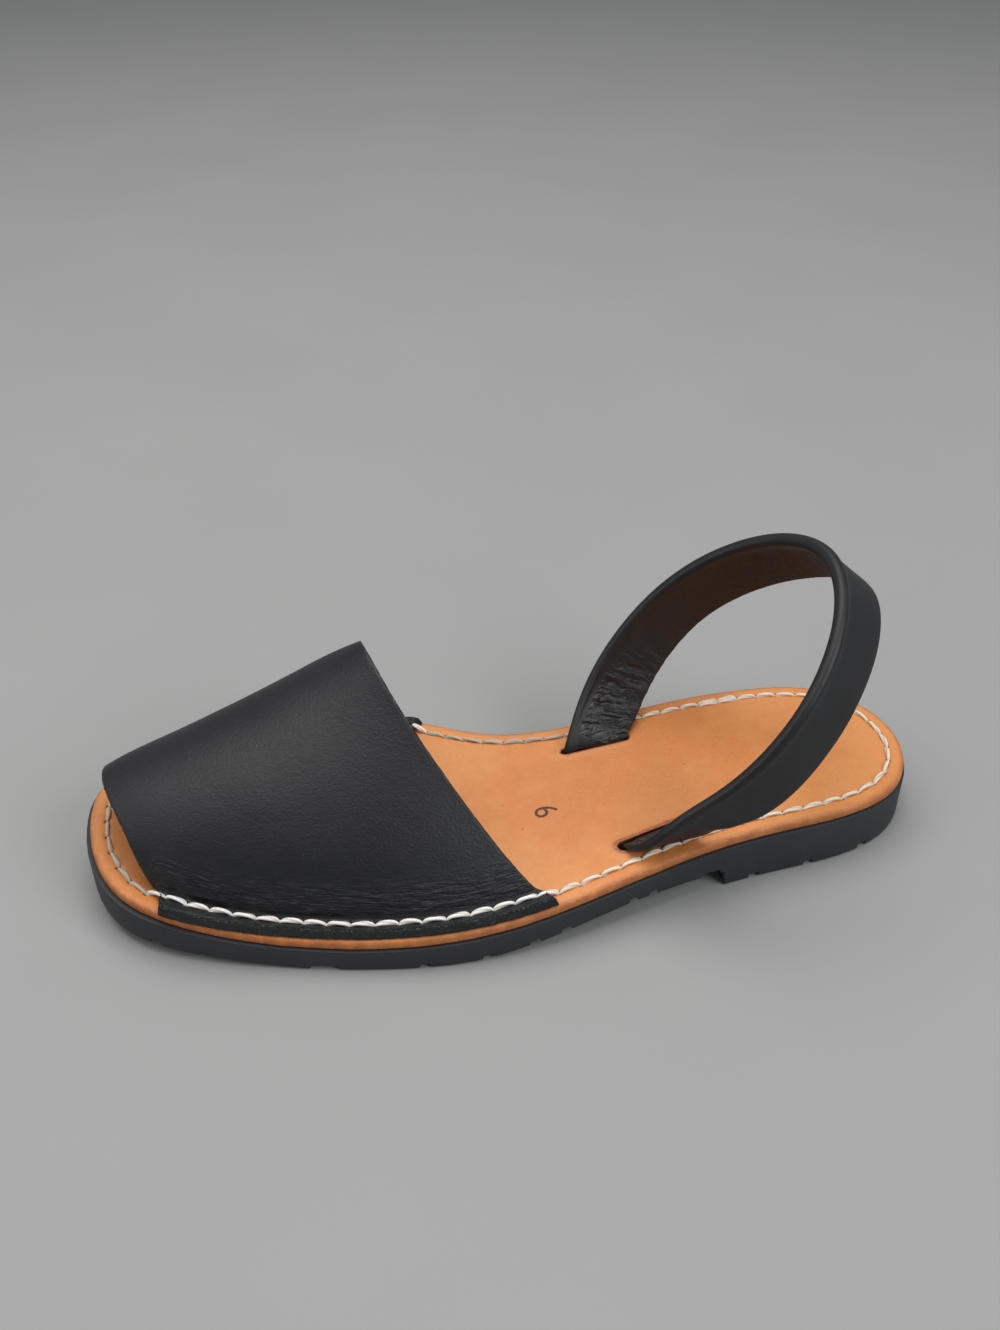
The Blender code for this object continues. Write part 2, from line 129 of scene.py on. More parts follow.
def sharp_edges(shape, degrees):
    return [e for e in shape.edges if e.is_manifold and e.calc_face_angle() > math.radians(degrees)]


def finished(shape, name, materials, degrees=40):
    """The bmesh as a smooth-shaded object."""
    mesh = bpy.data.meshes.new(name)
    shape.to_mesh(mesh)
    shape.free()
    mesh.shade_smooth()
    mesh.set_sharp_from_angle(angle=math.radians(degrees))
    piece = bpy.data.objects.new(name, mesh)
    bpy.context.scene.collection.objects.link(piece)
    for material in materials:
        mesh.materials.append(material)
    return piece


def rubber_finish():
    material, shader, place = new_finish("moulded_rubber")
    cloud = place.noise(38, 4, 0.6).between(0.42, 0.72)
    rubbing = place.stretched(1, 1, 5).noise(420, 3, 0.65).between(0.45, 0.75)
    speck = place.noise(2600, 1).between(0.66, 0.74)
    dust = cloud * 0.16 + rubbing * 0.14 + speck * 0.30
    dust.mix(RUBBER_COLOUR, RUBBER_DUST).into(shader, "Base Color")
    (0.60 + dust * 0.25).into(shader, "Roughness")
    grain = place.noise(2200, 2) * 0.00003 + rubbing * 0.00002 + place.noise(260, 3) * 0.00006
    grain.bump_into(shader)
    return material


shape = merged_copy("outsole")
bmesh.ops.bevel(
    shape, geom=sharp_edges(shape, RUBBER_CORNER_DEGREES), offset=RUBBER_CORNER, offset_type="OFFSET",
    affect="EDGES", segments=2, profile=0.5, material=-1, clamp_overlap=True)
outsole = finished(shape, "rubber_outsole", [rubber_finish()])
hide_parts("outsole")
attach(outsole, "root")


# Insole. Vegetable-tanned leather 3 mm thick in natural tan, waxed on top. Its edge is rounded and
# burnished, darker and more fibrous at the waist, and painted shade darkens its foot where it meets
# the rubber. Its two strap slots are cut hot, which leaves reddish-brown lips. The thread of the rim
# lies in a shallow channel all round, with painted shade beside it and in its needle holes.

RIM_TO_STITCH = 0.00455
STITCH_PITCH = 0.00636
FIRST_STITCH = 0.30
RIM_POINTS = 1200
SLOT_POINTS = 160
CHANNEL_DEPTH = 0.00022
CHANNEL_WIDTH = 0.0009
LIP_HEIGHT = 0.00034
LIP_WIDTH = 0.0010
SLOT_CLOSING = 0.00034
SLOT_CLOSING_DEPTH = 0.0020
SCORCH_REACH = (0.55, 1.5)
HOLE_DENT = 0.00034
HOLE_RADIUS = 0.00065
TOP_SWELL = 0.00012
RIM_WAVE = 0.00010
INSOLE_GRID = 0.0022
FINE_GRID_REACH = 0.0034
FINE_GRID_ROUNDS = 2
TAN = (0.640, 0.238, 0.066, 1)
TAN_DEEP = (0.570, 0.190, 0.047, 1)
TAN_PALE = (0.690, 0.282, 0.090, 1)
TAN_EDGE = (0.330, 0.095, 0.024, 1)
TAN_BURNT_AND_SHADE = (0.045, 0.014, 0.009, 1)
SLOT_RED = (0.230, 0.052, 0.024, 1)
TAN_SPECK = (0.150, 0.048, 0.018, 1)


def closed_rows(edges):
    """The closed rows of points that the edges form, the longest row first."""
    partners = {}
    for edge in edges:
        for this, other in (edge.verts, reversed(edge.verts)):
            partners.setdefault(this, []).append(other)
    left = dict.fromkeys(partners)
    rows = []
    while left:
        row = [next(iter(left))]
        del left[row[0]]
        while True:
            following = [v for v in partners[row[-1]] if v in left]
            if not following:
                break
            row.append(following[0])
            del left[following[0]]
        rows.append(np.array([v.co[:] for v in row]))
    return sorted(rows, key=len, reverse=True)


def resampled(row, count, start=0.0):
    """A closed row as count points at equal steps, from a start given in steps."""
    ring = np.vstack([row, row[:1]])
    run = np.concatenate([[0], np.cumsum(np.linalg.norm(np.diff(ring, axis=0), axis=1))])
    places = (np.arange(count) + start) % count * run[-1] / count
    return np.stack([np.interp(places, run, ring[:, i]) for i in range(3)], axis=1), run[-1]


def moved_inwards(row, distance):
    """A closed row, anticlockwise seen from above, moved inwards in plan."""
    tangent = np.roll(row, -1, axis=0) - np.roll(row, 1, axis=0)
    kernel = np.hanning(25) / np.hanning(25).sum()
    padded = np.vstack([tangent[-12:], tangent, tangent[:12]])
    smooth = np.stack([np.convolve(padded[:, i], kernel, mode="valid") for i in range(2)], axis=1)
    smooth /= np.linalg.norm(smooth, axis=1)[:, None]
    inwards = np.column_stack([-smooth[:, 1], smooth[:, 0], np.zeros(len(row))])
    return row + distance * inwards


def nearest(points, targets):
    """For each point, the number of the nearest target and its distance."""
    tree = KDTree(len(targets))
    for number, target in enumerate(targets):
        tree.insert(target, number)
    tree.balance()
    found = [tree.find(point)[1:] for point in points]
    return np.array([f[0] for f in found]), np.array([f[1] for f in found])


def places_of(verts):
    return np.array([v.co[:] for v in verts])


def store(mesh, name, values):
    layer = mesh.attributes.new(name, "FLOAT", "POINT")
    layer.data.foreach_set("value", np.asarray(values, np.float32))


def stored(place, name):
    return place.node("Attribute", {"attribute_name": name}, output="Fac")


def cut_into_cells(shape, axis, step):
    """Cut the shape by planes at right angles to an axis."""
    values = [v.co[axis] for v in shape.verts]
    normal = Vector((axis == 0, axis == 1, axis == 2))
    for place in np.arange(min(values) + step, max(values), step):
        geom = shape.verts[:] + shape.edges[:] + shape.faces[:]
        bmesh.ops.bisect_plane(shape, geom=geom, dist=0.00001, plane_co=normal * place, plane_no=normal)


def refined_near(shape, targets, reach, rounds=1, axes=(1, 1, 1)):
    """Divide the edges that lie near the targets, measured along the given axes."""
    for _ in range(rounds):
        close = nearest(places_of(shape.verts) * axes, targets * axes)[1] < reach
        shape.verts.index_update()
        edges = [e for e in shape.edges if all(close[v.index] for v in e.verts)]
        bmesh.ops.subdivide_edges(shape, edges=edges, cuts=1, use_grid_fill=True)
        bmesh.ops.triangulate(shape, faces=[f for f in shape.faces if len(f.verts) > 4])


def insole_finish():
    material, shader, place = new_finish("tan_leather")
    rim, slot, depth = stored(place, "rim"), stored(place, "slot"), stored(place, "depth")
    thread, hole = stored(place, "thread"), stored(place, "hole")
    cloud = place.noise(24, 5, 0.6)
    mottle = place.noise(230, 4, 0.65)
    fibre = place.stretched(1, 1, 0.35).noise(1900, 4, 0.7)
    pale = (cloud * 0.75 + mottle * 0.25).between(0.40, 0.62)
    colour = pale.mix(TAN_DEEP, TAN_PALE)
    colour = place.noise(1300, 3, 0.6).between(0.30, 0.80).mix(colour, TAN)
    speck = place.noise(560, 1, 0.5).between(0.775, 0.83)
    colour = (speck * 0.65).mix(colour, TAN_SPECK)
    heelwards = 1 - place.node("SeparateXYZ", {}, {0: place}).between(-0.03, 0.03)
    burnish = (1 - rim.between(0.0003, 0.0019)) * (0.45 + 0.55 * mottle.between(0.35, 0.60))
    colour = (burnish * 0.70).mix(colour, TAN_EDGE)
    # Painted shade darkens the foot of the edge where it meets the rubber. It is stronger towards the
    # heel, where the edge is also darker and more fibrous.
    low = (depth + fibre * 0.0012).between(0.0019, 0.0030) * (0.40 + 0.5 * heelwards)
    colour = low.mix(colour, TAN_BURNT_AND_SHADE)
    # Painted shade darkens the leather about 1 mm to either side of the thread's line.
    channel_shade = 1 - thread.between(0.0005, 0.0014)
    colour = (channel_shade * 0.35).mix(colour, TAN_DEEP)
    # Painted shade darkens a small ragged disc at each needle hole, where the thread goes down into it.
    hole_shade = 1 - (hole + (fibre - 0.5) * 0.0005).between(0.0006, 0.0010)
    colour = (hole_shade * 0.92).mix(colour, TAN_BURNT_AND_SHADE)
    scorch = 1 - (slot + mottle * 0.0005).between(0.0006, 0.0013)
    streaks = 0.5 + 0.5 * fibre.between(0.35, 0.60)
    colour = (scorch * streaks * 0.90).mix(colour, SLOT_RED)
    charred = 1 - (slot + fibre * 0.0004).between(0.0002, 0.0004)
    (charred * 0.80).mix(colour, TAN_BURNT_AND_SHADE).into(shader, "Base Color")
    (0.42 + 0.14 * mottle + 0.12 * burnish).into(shader, "Roughness")
    grain = place.noise(1700, 3, 0.6) * 0.00003 + mottle * 0.00005
    (grain + fibre * burnish * 0.00010).bump_into(shader)
    return material


# The rim and the slots of the top face give the thread's line and its needle holes.
shape = merged_copy("insole")
upright = {f for f in shape.faces if abs(f.normal.z) < 0.2}
top_rim = [e for e in shape.edges if len(upright.intersection(e.link_faces)) == 1
           and max(f.normal.z for f in e.link_faces) > 0.3]
outline, *slots = closed_rows(top_rim)
onwards = np.roll(outline, -1, axis=0)
is_clockwise = np.sum(outline[:, 0] * onwards[:, 1] - outline[:, 1] * onwards[:, 0]) < 0
if is_clockwise:
    outline = outline[::-1]
outline, _ = resampled(outline, RIM_POINTS)
thread_line, thread_length = resampled(moved_inwards(outline, RIM_TO_STITCH), RIM_POINTS)
stitch_count = round(thread_length / STITCH_PITCH)
needle_holes, _ = resampled(thread_line, stitch_count, FIRST_STITCH)
flat = np.array([1, 1, 0])
slot_edge = np.vstack([resampled(row, SLOT_POINTS)[0] for row in slots[:2]])
inner_slot = slot_edge[slot_edge[:, 1] < 0]
slot_middle = inner_slot.mean(axis=0)
slot_across = np.linalg.svd((inner_slot - slot_middle) * flat)[2][1]

# A grid, finer along the thread and the slots, takes the relief that the tools leave.
for axis in (0, 1):
    cut_into_cells(shape, axis, INSOLE_GRID)
bmesh.ops.triangulate(shape, faces=[f for f in shape.faces if len(f.verts) > 4])
refined_near(shape, np.vstack([thread_line, slot_edge]), FINE_GRID_REACH, FINE_GRID_ROUNDS, flat)
shape.normal_update()
points = places_of(shape.verts)
plan = points * flat
to_thread = nearest(plan, thread_line * flat)[1]
to_hole = nearest(plan, needle_holes * flat)[1]
to_slot = nearest(plan, slot_edge * flat)[1]
nearest_rim, to_rim = nearest(plan, outline * flat)
below_rim = outline[nearest_rim, 2] - points[:, 2]
faces_up = np.array([v.normal.z > 0.5 for v in shape.verts])
rise = TOP_SWELL * np.array([noise.noise(Vector(p) * 45) for p in points])
rise -= CHANNEL_DEPTH * np.exp(-(to_thread / CHANNEL_WIDTH) ** 2)
rise -= HOLE_DENT * np.exp(-(to_hole / HOLE_RADIUS) ** 2)
rise += LIP_HEIGHT * np.exp(-((to_slot - 0.5 * LIP_WIDTH) / LIP_WIDTH) ** 2)
edge_wave = RIM_WAVE * np.array([noise.noise(Vector(p) * 160) for p in points])
closing = SLOT_CLOSING * np.exp(-(to_slot / LIP_WIDTH) ** 2) * (points[:, 1] < 0)
closing *= np.sign((slot_middle - points) @ slot_across) * (below_rim < SLOT_CLOSING_DEPTH)
for vert, up, height, wave, shift in zip(shape.verts, faces_up, rise, edge_wave, closing):
    vert.co += Vector(slot_across) * float(shift)
    if up:
        vert.co.z += height
    elif abs(vert.normal.z) <= 0.5:
        vert.co += vert.normal * wave
insole = finished(shape, "leather_insole", [insole_finish()], 50)
for name, values in (
        ("rim", to_rim), ("depth", below_rim), ("thread", to_thread), ("hole", to_hole),
        ("slot", to_slot * np.where(points[:, 1] > 0, *SCORCH_REACH))):
    store(insole.data, name, values)
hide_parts("insole")
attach(insole, "root")


# Upper. One piece of black box leather 1.9 mm thick, lasted to a smooth arch and turned outwards
# along both sides, where it is sewn to the sole. The thread pulls it down into a furrow with fine
# wrinkles above it. Its edges are cut and left raw, and its inner face is the napped flesh side.

EDGE_SHARPNESS = 0.85
LEATHER_THICKNESS = 0.0019
FURROW_DEPTH = 0.00042
FURROW_WIDTH = 0.0011
PUCKER_DEPTH = 0.00026
PUCKER_LENGTH = 0.0062
PUCKER_START = 0.0010
PUCKER_FULL = 0.0025
PAST_END = 2.5
HEM_WIDTH = 0.0065
HEM_RISE = 0.0030
HEM_GRID_REACH = 0.0075
ABOVE_HEM = 0.0045
HEM_SEARCH = 0.0060
HEM_HOLE_DENT = 1.1 * HOLE_DENT
HEM_HOLE_RADIUS = 1.3 * HOLE_RADIUS
OFF_SURFACE = 0.0006
SHOE_INSIDE = 0.09
CUT_SLANT = 0.00105
CUT_REACH = 0.0024
CUT_FUZZ = 0.00015
HIDE_SWELL = 0.00018
TAB_LIFT = 0.0020
TAB_LENGTH = 0.0035
BLACK = (0.0088, 0.0090, 0.0112, 1)
BLACK_WORN_AND_SHEEN = (0.026, 0.027, 0.031, 1)
RAW_EDGE = (0.0040, 0.0065, 0.0060, 1)
RAW_EDGE_PALE = (0.130, 0.155, 0.145, 1)
FLESH_SIDE = (0.012, 0.011, 0.011, 1)


def quads_again(shape):
    """Join pairs of triangles into the quads that they came from."""
    bmesh.ops.join_triangles(
        shape, faces=shape.faces, angle_face_threshold=math.radians(45), angle_shape_threshold=math.pi)


def is_cut(face, sharp):
    """A cut edge of leather is a face between two sharp edges that don't meet."""
    edges = [e for e in face.edges if e in sharp]
    return any(not set(a.verts) & set(b.verts) for a in edges for b in edges)


def subdivided(shape, name, levels):
    """The shape after a Subdivision Surface, as a new bmesh."""
    mesh = bpy.data.meshes.new(name)
    shape.to_mesh(mesh)
    shape.free()
    piece = bpy.data.objects.new(name, mesh)
    bpy.context.scene.collection.objects.link(piece)
    modifier = piece.modifiers.new("smooth", "SUBSURF")
    modifier.levels = modifier.render_levels = levels
    evaluated = piece.evaluated_get(bpy.context.evaluated_depsgraph_get())
    fine = bmesh.new()
    fine.from_mesh(evaluated.to_mesh())
    evaluated.to_mesh_clear()
    bpy.data.objects.remove(piece)
    fine.normal_update()
    return fine


def ray_tree(*pieces):
    """One tree for rays onto the finished pieces."""
    joined = bmesh.new()
    for piece in pieces:
        joined.from_mesh(piece.data)
    tree = BVHTree.FromBMesh(joined)
    joined.free()
    return tree


def upper_finish():
    material, shader, place = new_finish("box_leather")
    along, above = stored(place, "along"), stored(place, "above")
    edge, cut = stored(place, "edge"), stored(place, "cut")
    settings = {"feature": "SMOOTH_F1"}
    sockets = {"Vector": place, "Scale": 1500.0, "Smoothness": 0.6}
    pores = place.node("TexVoronoi", settings, sockets, output="Distance")
    drawn = place.stretched(0.50, 1.20, 1.0).noise(1050, 3, 0.6)
    cloud = place.noise(34, 4, 0.6)
    zone = above.between(0.0012, 0.0030) * (1 - above.between(0.0050, 0.0140))
    lines = place.node("CombineXYZ", {}, {0: along, 1: above, 2: 0.0})
    pleat = lines.stretched(0.20, 1.0, 1.0).noise(950, 2, 0.55)
    worn = (1 - edge.between(0.0001, 0.0007)) * place.noise(600, 3).between(0.42, 0.64)
    fibre = place.noise(1500, 5, 0.75)
    raw = 1 - (cut + (fibre - 0.5) * 0.0009 + (cloud - 0.5) * 0.0006).between(0.0011, 0.0014)
    colour = (cloud.between(0.35, 0.75) * 0.18).mix(BLACK, BLACK_WORN_AND_SHEEN)
    # Painted sheen lightens the crests of the fine wrinkles above the seam.
    colour = (pleat.between(0.52, 0.68) * zone * 0.8).mix(colour, BLACK_WORN_AND_SHEEN)
    colour = (worn * 0.4).mix(colour, RAW_EDGE_PALE)
    # A painted highlight lightens the narrow strip of grain face beside the hem's cut edge.
    hem_strip_highlight = 1 - cut.between(0.0024, 0.0036)
    colour = (hem_strip_highlight * 0.45).mix(colour, BLACK_WORN_AND_SHEEN)
    fibres = fibre.between(0.52, 0.66).mix(RAW_EDGE, RAW_EDGE_PALE)
    colour = raw.mix(colour, fibres)
    speck = place.noise(1250, 1).between(0.80, 0.84)
    (speck * 0.7).mix(colour, RAW_EDGE_PALE).into(shader, "Base Color")
    dull = 0.2 * worn + 0.35 * raw
    pressed = 0.10 * (1 - above.between(0.0022, 0.0034)) * (1 - raw)
    (0.42 + 0.08 * cloud + 0.08 * drawn.between(0.4, 0.7) + dull - pressed).into(shader, "Roughness")
    shader.inputs["Specular IOR Level"].default_value = 0.36
    height = pores * 0.000060 + drawn * 0.000085 + place.noise(230, 3, 0.6) * 0.00008
    (height + pleat * zone * 0.00105 + raw * fibre * 0.00030).bump_into(shader)
    return material


def raw_edge_finish():
    material, shader, place = new_finish("raw_leather_edge")
    fibre = place.noise(1500, 5, 0.75)
    clump = place.noise(260, 3, 0.6)
    raised = place.node("SeparateXYZ", {}, {0: place}, output="Z").between(0.018, 0.034)
    tone = (fibre * 0.7 + clump * 0.3 + 0.06 * raised).between(0.53, 0.66)
    (tone * (0.35 + 0.65 * raised)).mix(RAW_EDGE, RAW_EDGE_PALE).into(shader, "Base Color")
    (0.80 + 0.1 * fibre).into(shader, "Roughness")
    (fibre * 0.00032 + clump * 0.0002).bump_into(shader)
    return material


def flesh_finish():
    material, shader, place = new_finish("flesh_side")
    nap = place.noise(1700, 5, 0.7)
    nap.between(0.35, 0.70).mix(FLESH_SIDE, BLACK_WORN_AND_SHEEN).into(shader, "Base Color")
    (0.82 + 0.1 * nap).into(shader, "Roughness")
    (nap * 0.00016 + place.noise(300, 3) * 0.00012).bump_into(shader)
    return material


def marked_leather(shape, others):
    """Number the faces: 0 outer face, 1 cut edge, 2 inner face, which looks at leather across the foot."""
    shape.normal_update()
    sharp = set(sharp_edges(shape, 50))
    tree = BVHTree.FromBMesh(shape)
    for face in shape.faces:
        face.material_index = 0
        if is_cut(face, sharp):
            face.material_index = 1
            continue
        start = face.calc_center_median() + face.normal * OFF_SURFACE
        for other in (tree, *others):
            distance = other.ray_cast(start, face.normal)[3]
            if distance is not None and distance < SHOE_INSIDE:
                face.material_index = 2
    return sharp


def row_points(edges, step=0.0006):
    """Points along the edges, close enough to measure distances from."""
    points = []
    for edge in edges:
        first, last = edge.verts[0].co, edge.verts[1].co
        count = max(1, round((last - first).length / step))
        points += [first.lerp(last, i / count)[:] for i in range(count + 1)]
    return np.array(points)


shape = merged_copy("upper")
crease = shape.edges.layers.float.new("crease_edge")
quads_again(shape)
sharp = marked_leather(shape, [ray_tree(insole)])
for edge in sharp:
    edge[crease] = EDGE_SHARPNESS
cut_rows = row_points(sharp)

# The seam is the thread's line dropped onto the hem, where there is one below it.
coarse = BVHTree.FromBMesh(shape)
run = np.arange(RIM_POINTS) * thread_length / RIM_POINTS
seam = []
seam_run = []
for point, place in zip(thread_line, run):
    above_hem = Vector(point) + Vector((0, 0, ABOVE_HEM))
    hit = coarse.ray_cast(above_hem, (0, 0, -1), HEM_SEARCH)[0]
    if hit:
        seam.append(hit[:])
        seam_run.append(place)
seam = np.array(seam)
seam_run = np.array(seam_run)

shape = subdivided(shape, "upper_form", 2)
refined_near(shape, seam, HEM_GRID_REACH)
shape.normal_update()
points = places_of(shape.verts)
number, above = nearest(points, seam)
along = seam_run[number]
outer_front, inner_front = (seam[seam[:, 1] * side > 0][:, 0].max() for side in (1, -1))
past_front = points[:, 0] - np.where(points[:, 1] > 0, outer_front, inner_front)
above += PAST_END * np.clip(past_front, 0, None)
hem_holes = needle_holes[nearest(needle_holes * flat, seam * flat)[1] < 0.0020]
hem_holes = seam[nearest(hem_holes * flat, seam * flat)[0]]
to_hole = nearest(points, hem_holes)[1]

# The thread's furrow, its holes and the wrinkles above it sink and lift the outer face.
outer = np.array([all(f.material_index == 0 for f in v.link_faces) for v in shape.verts])
sink = FURROW_DEPTH * np.exp(-(above / FURROW_WIDTH) ** 2)
sink += HEM_HOLE_DENT * np.exp(-(to_hole / HEM_HOLE_RADIUS) ** 2)
ripple = np.array([noise.noise(Vector((a * 150, d * 620, 3.7))) for a, d in zip(along, above)])
pull = np.clip((above - PUCKER_START) / (PUCKER_FULL - PUCKER_START), 0, 1)
pull *= np.exp(-(above / PUCKER_LENGTH) ** 2)
swell = np.array([noise.noise(Vector(p) * 60) for p in points])
lift = PUCKER_DEPTH * ripple * pull + HIDE_SWELL * swell

# The knife leaves the hem's edge slanted towards the seam, and its inner back corner curls up.
side_of_seam = np.abs(cut_rows[:, 1]) - np.abs(seam[nearest(cut_rows, seam)[0], 1])
hem_edge = cut_rows[(nearest(cut_rows, seam)[1] < HEM_WIDTH) & (side_of_seam > 0.0010)]
in_hem = points[:, 2] - seam[number, 2] < HEM_RISE
cut = np.where(in_hem, nearest(points * flat, hem_edge * flat)[1], 1.0)
over_sole = np.clip(1 + (points[:, 2] - seam[number, 2]) / LEATHER_THICKNESS, 0, 1)
inwards = (seam[number] - points) * flat
inwards /= np.maximum(np.linalg.norm(inwards, axis=1), 0.0001)[:, None]
slant = inwards * (CUT_SLANT * over_sole * np.clip(1 - cut / CUT_REACH, 0, 1))[:, None]
tab_end = seam[seam[:, 1] < 0][:, 0].min()
back_end = np.exp(-((points[:, 0] - tab_end) / TAB_LENGTH) ** 2) * (points[:, 1] < 0)
lift += TAB_LIFT * back_end * np.exp(-(above / TAB_LENGTH) ** 2)
for vert, is_outer, down, up, shift in zip(shape.verts, outer, sink, lift, slant):
    if is_outer:
        vert.co += vert.normal * float(up - down)
    elif any(f.material_index == 1 for f in vert.link_faces):
        vert.co += vert.normal * CUT_FUZZ * noise.noise(vert.co * 900)
    vert.co += Vector(shift)
upper = finished(shape, "leather_upper", [upper_finish(), raw_edge_finish(), flesh_finish()], 60)
to_edge = nearest(places_of(upper.data.vertices), cut_rows)[1]
for name, values in (("along", along), ("above", above), ("edge", to_edge), ("cut", cut)):
    store(upper.data, name, values)
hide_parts("upper")
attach(upper, "root")


# Heel strap. A doubled band of thin black leather, 20 mm wide, with a piping rolled into its top
# edge. Its ends go down through the insole's slots. The lining is creased across where the band
# turns down to the slots, and goes from black at its ends to brown at the back.

CREASE_DEPTH = 0.00080
CREASED_LENGTH = 0.036
RIB_DEPTH = 0.00010
SWAY = 0.00010
FIRST_RING_HEIGHT = 0.0018
LINING_EDGE = 0.80
STRAP_BLACK = (0.0070, 0.0072, 0.0082, 1)
LINING_BLACK = (0.0095, 0.0095, 0.0100, 1)
LINING_BROWN = (0.040, 0.021, 0.014, 1)


def rings_from(shape, first):
    """The rings of a lofted band, counted from the vertices of its first end."""
    rings = [list(first)]
    seen = set(first)
    while rings[-1]:
        following = {e.other_vert(v): None for v in rings[-1] for e in v.link_edges}
        rings.append([v for v in following if v not in seen])
        seen.update(rings[-1])
    return rings[:-1]


def strap_finish():
    material, shader, place = new_finish("strap_leather")
    cloud = place.noise(40, 4, 0.6)
    drawn = place.stretched(1.0, 1.0, 0.6).noise(900, 3, 0.6)
    (cloud.between(0.35, 0.75) * 0.30).mix(STRAP_BLACK, BLACK_WORN_AND_SHEEN).into(shader, "Base Color")
    (0.36 + 0.12 * cloud + 0.10 * drawn).into(shader, "Roughness")
    shader.inputs["Specular IOR Level"].default_value = 0.42
    (drawn * 0.00006 + place.noise(3000, 2) * 0.000015 + cloud * 0.0002).bump_into(shader)
    return material


def lining_finish():
    material, shader, place = new_finish("strap_lining")
    along, across = stored(place, "along"), stored(place, "across")
    middle = along.between(0.22, 0.42) * (1 - along.between(0.60, 0.80))
    fibre = place.noise(1300, 4, 0.65)
    lines = place.node("CombineXYZ", {}, {0: along, 1: across, 2: 0.0})
    rib = lines.stretched(1.0, 0.03, 1.0).noise(190, 3, 0.6)
    wander = lines.stretched(0.4, 0.06, 1.0).noise(90, 2, 0.5)
    wavy = place.node("CombineXYZ", {}, {0: along + wander * 0.016, 1: across, 2: 0.0})
    fold = wavy.stretched(1.0, 0.014, 1.0).noise(92, 1, 0.45)
    fold = place.node("Math", {"operation": "ABSOLUTE"}, {0: fold - 0.5})
    from_end = place.node("Math", {"operation": "MINIMUM"}, {0: along, 1: 1 - along})
    creased = 1 - from_end.between(0.05, 0.24)
    brown = middle * (0.40 + 0.60 * rib.between(0.40, 0.60)) * (0.6 + 0.4 * fibre.between(0.35, 0.65))
    brown.mix(LINING_BLACK, LINING_BROWN).into(shader, "Base Color")
    (0.44 + 0.22 * middle + 0.1 * fibre - 0.10 * creased).into(shader, "Roughness")
    shader.inputs["Specular IOR Level"].default_value = 0.50
    (fibre * 0.00006 + rib * 0.00030 * (0.3 + middle) - fold * creased * 0.0022).bump_into(shader)
    return material


shape = merged_copy("heel_strap")
layers = {name: shape.verts.layers.float.new(name) for name in ("along", "across", "outward")}
quads_again(shape)
outer_side = [v for v in shape.verts if v.co.y > 0]
lowest = min(v.co.z for v in outer_side)
rings = rings_from(shape, [v for v in outer_side if v.co.z < lowest + FIRST_RING_HEIGHT])
middles = np.array([places_of(ring).mean(axis=0) for ring in rings])
run_along = np.concatenate([[0], np.cumsum(np.linalg.norm(np.diff(middles, axis=0), axis=1))])
tangents = np.gradient(middles, axis=0)
widths = []
for ring, middle in zip(rings, middles):
    axis = np.linalg.svd(places_of(ring) - middle)[2][0]
    before = widths[-1] if widths else np.array([1.0, 0.0, 0.0])
    widths.append(axis if axis @ before > 0 else -axis)
outwards = np.cross(tangents, np.array(widths))
outwards /= np.linalg.norm(outwards, axis=1)[:, None]
if outwards[len(rings) // 2][0] > 0:
    outwards = -outwards
strap_length = run_along[-1]
for ring, middle, place, width, outward in zip(rings, middles, run_along, widths, outwards):
    reach = [(np.array(v.co) - middle) @ width for v in ring]
    for vert, share in zip(ring, reach):
        vert[layers["along"]] = place / strap_length
        vert[layers["across"]] = (share - min(reach)) / (max(reach) - min(reach))
        vert[layers["outward"]] = (np.array(vert.co) - middle) @ outward

# The face that looks into the loop is the lining, up to the piping.
ring_number = {vert: number for number, ring in enumerate(rings) for vert in ring}
for face in shape.faces:
    outward = Vector(outwards[min(ring_number[v] for v in face.verts)])
    under_piping = sum(v[layers["across"]] for v in face.verts) < LINING_EDGE * len(face.verts)
    face.material_index = int(face.normal.dot(outward) < -0.3 and under_piping)
shape = subdivided(shape, "strap_form", 3)
layers = {name: shape.verts.layers.float[name] for name in ("along", "across", "outward")}
for vert in shape.verts:
    run = vert[layers["along"]] * strap_length
    across = vert[layers["across"]]
    near_end = math.exp(-(min(run, strap_length - run) / CREASED_LENGTH) ** 2)
    on_inner_face = min(1.0, max(0.0, -vert[layers["outward"]]) * 1000)
    on_band = min(1.0, max(0.0, (0.86 - across) / 0.08))
    wander = noise.noise(Vector((run * 70, across * 1.4, 8.1))) * 0.9
    fold = noise.noise(Vector((run * 420 + wander + across * 1.1, across * 1.3, 2.3)))
    rib = noise.noise(Vector((run * 640, across * 0.9, 5.5)))
    relief = fold * (CREASE_DEPTH * near_end * on_inner_face)
    relief += rib * (RIB_DEPTH * (1 - near_end) * on_inner_face)
    sway = SWAY * noise.noise(Vector((run * 60, across * 1.5, 1.2)))
    vert.co += vert.normal * (relief * on_band + sway)
strap = finished(shape, "leather_heel_strap", [strap_finish(), lining_finish()], 60)
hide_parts("heel_strap")
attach(strap, "root")


# Thread. Thick waxed two-ply cord, natural white, in a lockstitch all round the rim. Each stitch
# comes up through a needle hole, bows over the leather and goes down through the next one.

THREAD_THICKNESS = 0.00130
THREAD_BOW = 0.00082
THREAD_SINK = 0.00095
THREAD_SWEEP = 0.00012
THREAD_LAY = math.radians(1)
THREAD_DIVE = math.radians(62)
THREAD_TURNS = 0.55
STITCH_SHARE = 0.985
MIDDLE_SWELL = 1.12
END_TAPER = 0.62
DOUBLED_AT = (-0.0765, -0.0640)
DOUBLED_APART = 0.00050
THREAD_RINGS = 17
THREAD_SIDES = 16
PLY_GROOVE = 0.34
CREAM = (0.80, 0.71, 0.57, 1)
CREAM_SHADE = (0.42, 0.34, 0.25, 1)
WHITE_THREAD = (0.86, 0.84, 0.80, 1)
GREY_THREAD = (0.40, 0.36, 0.30, 1)


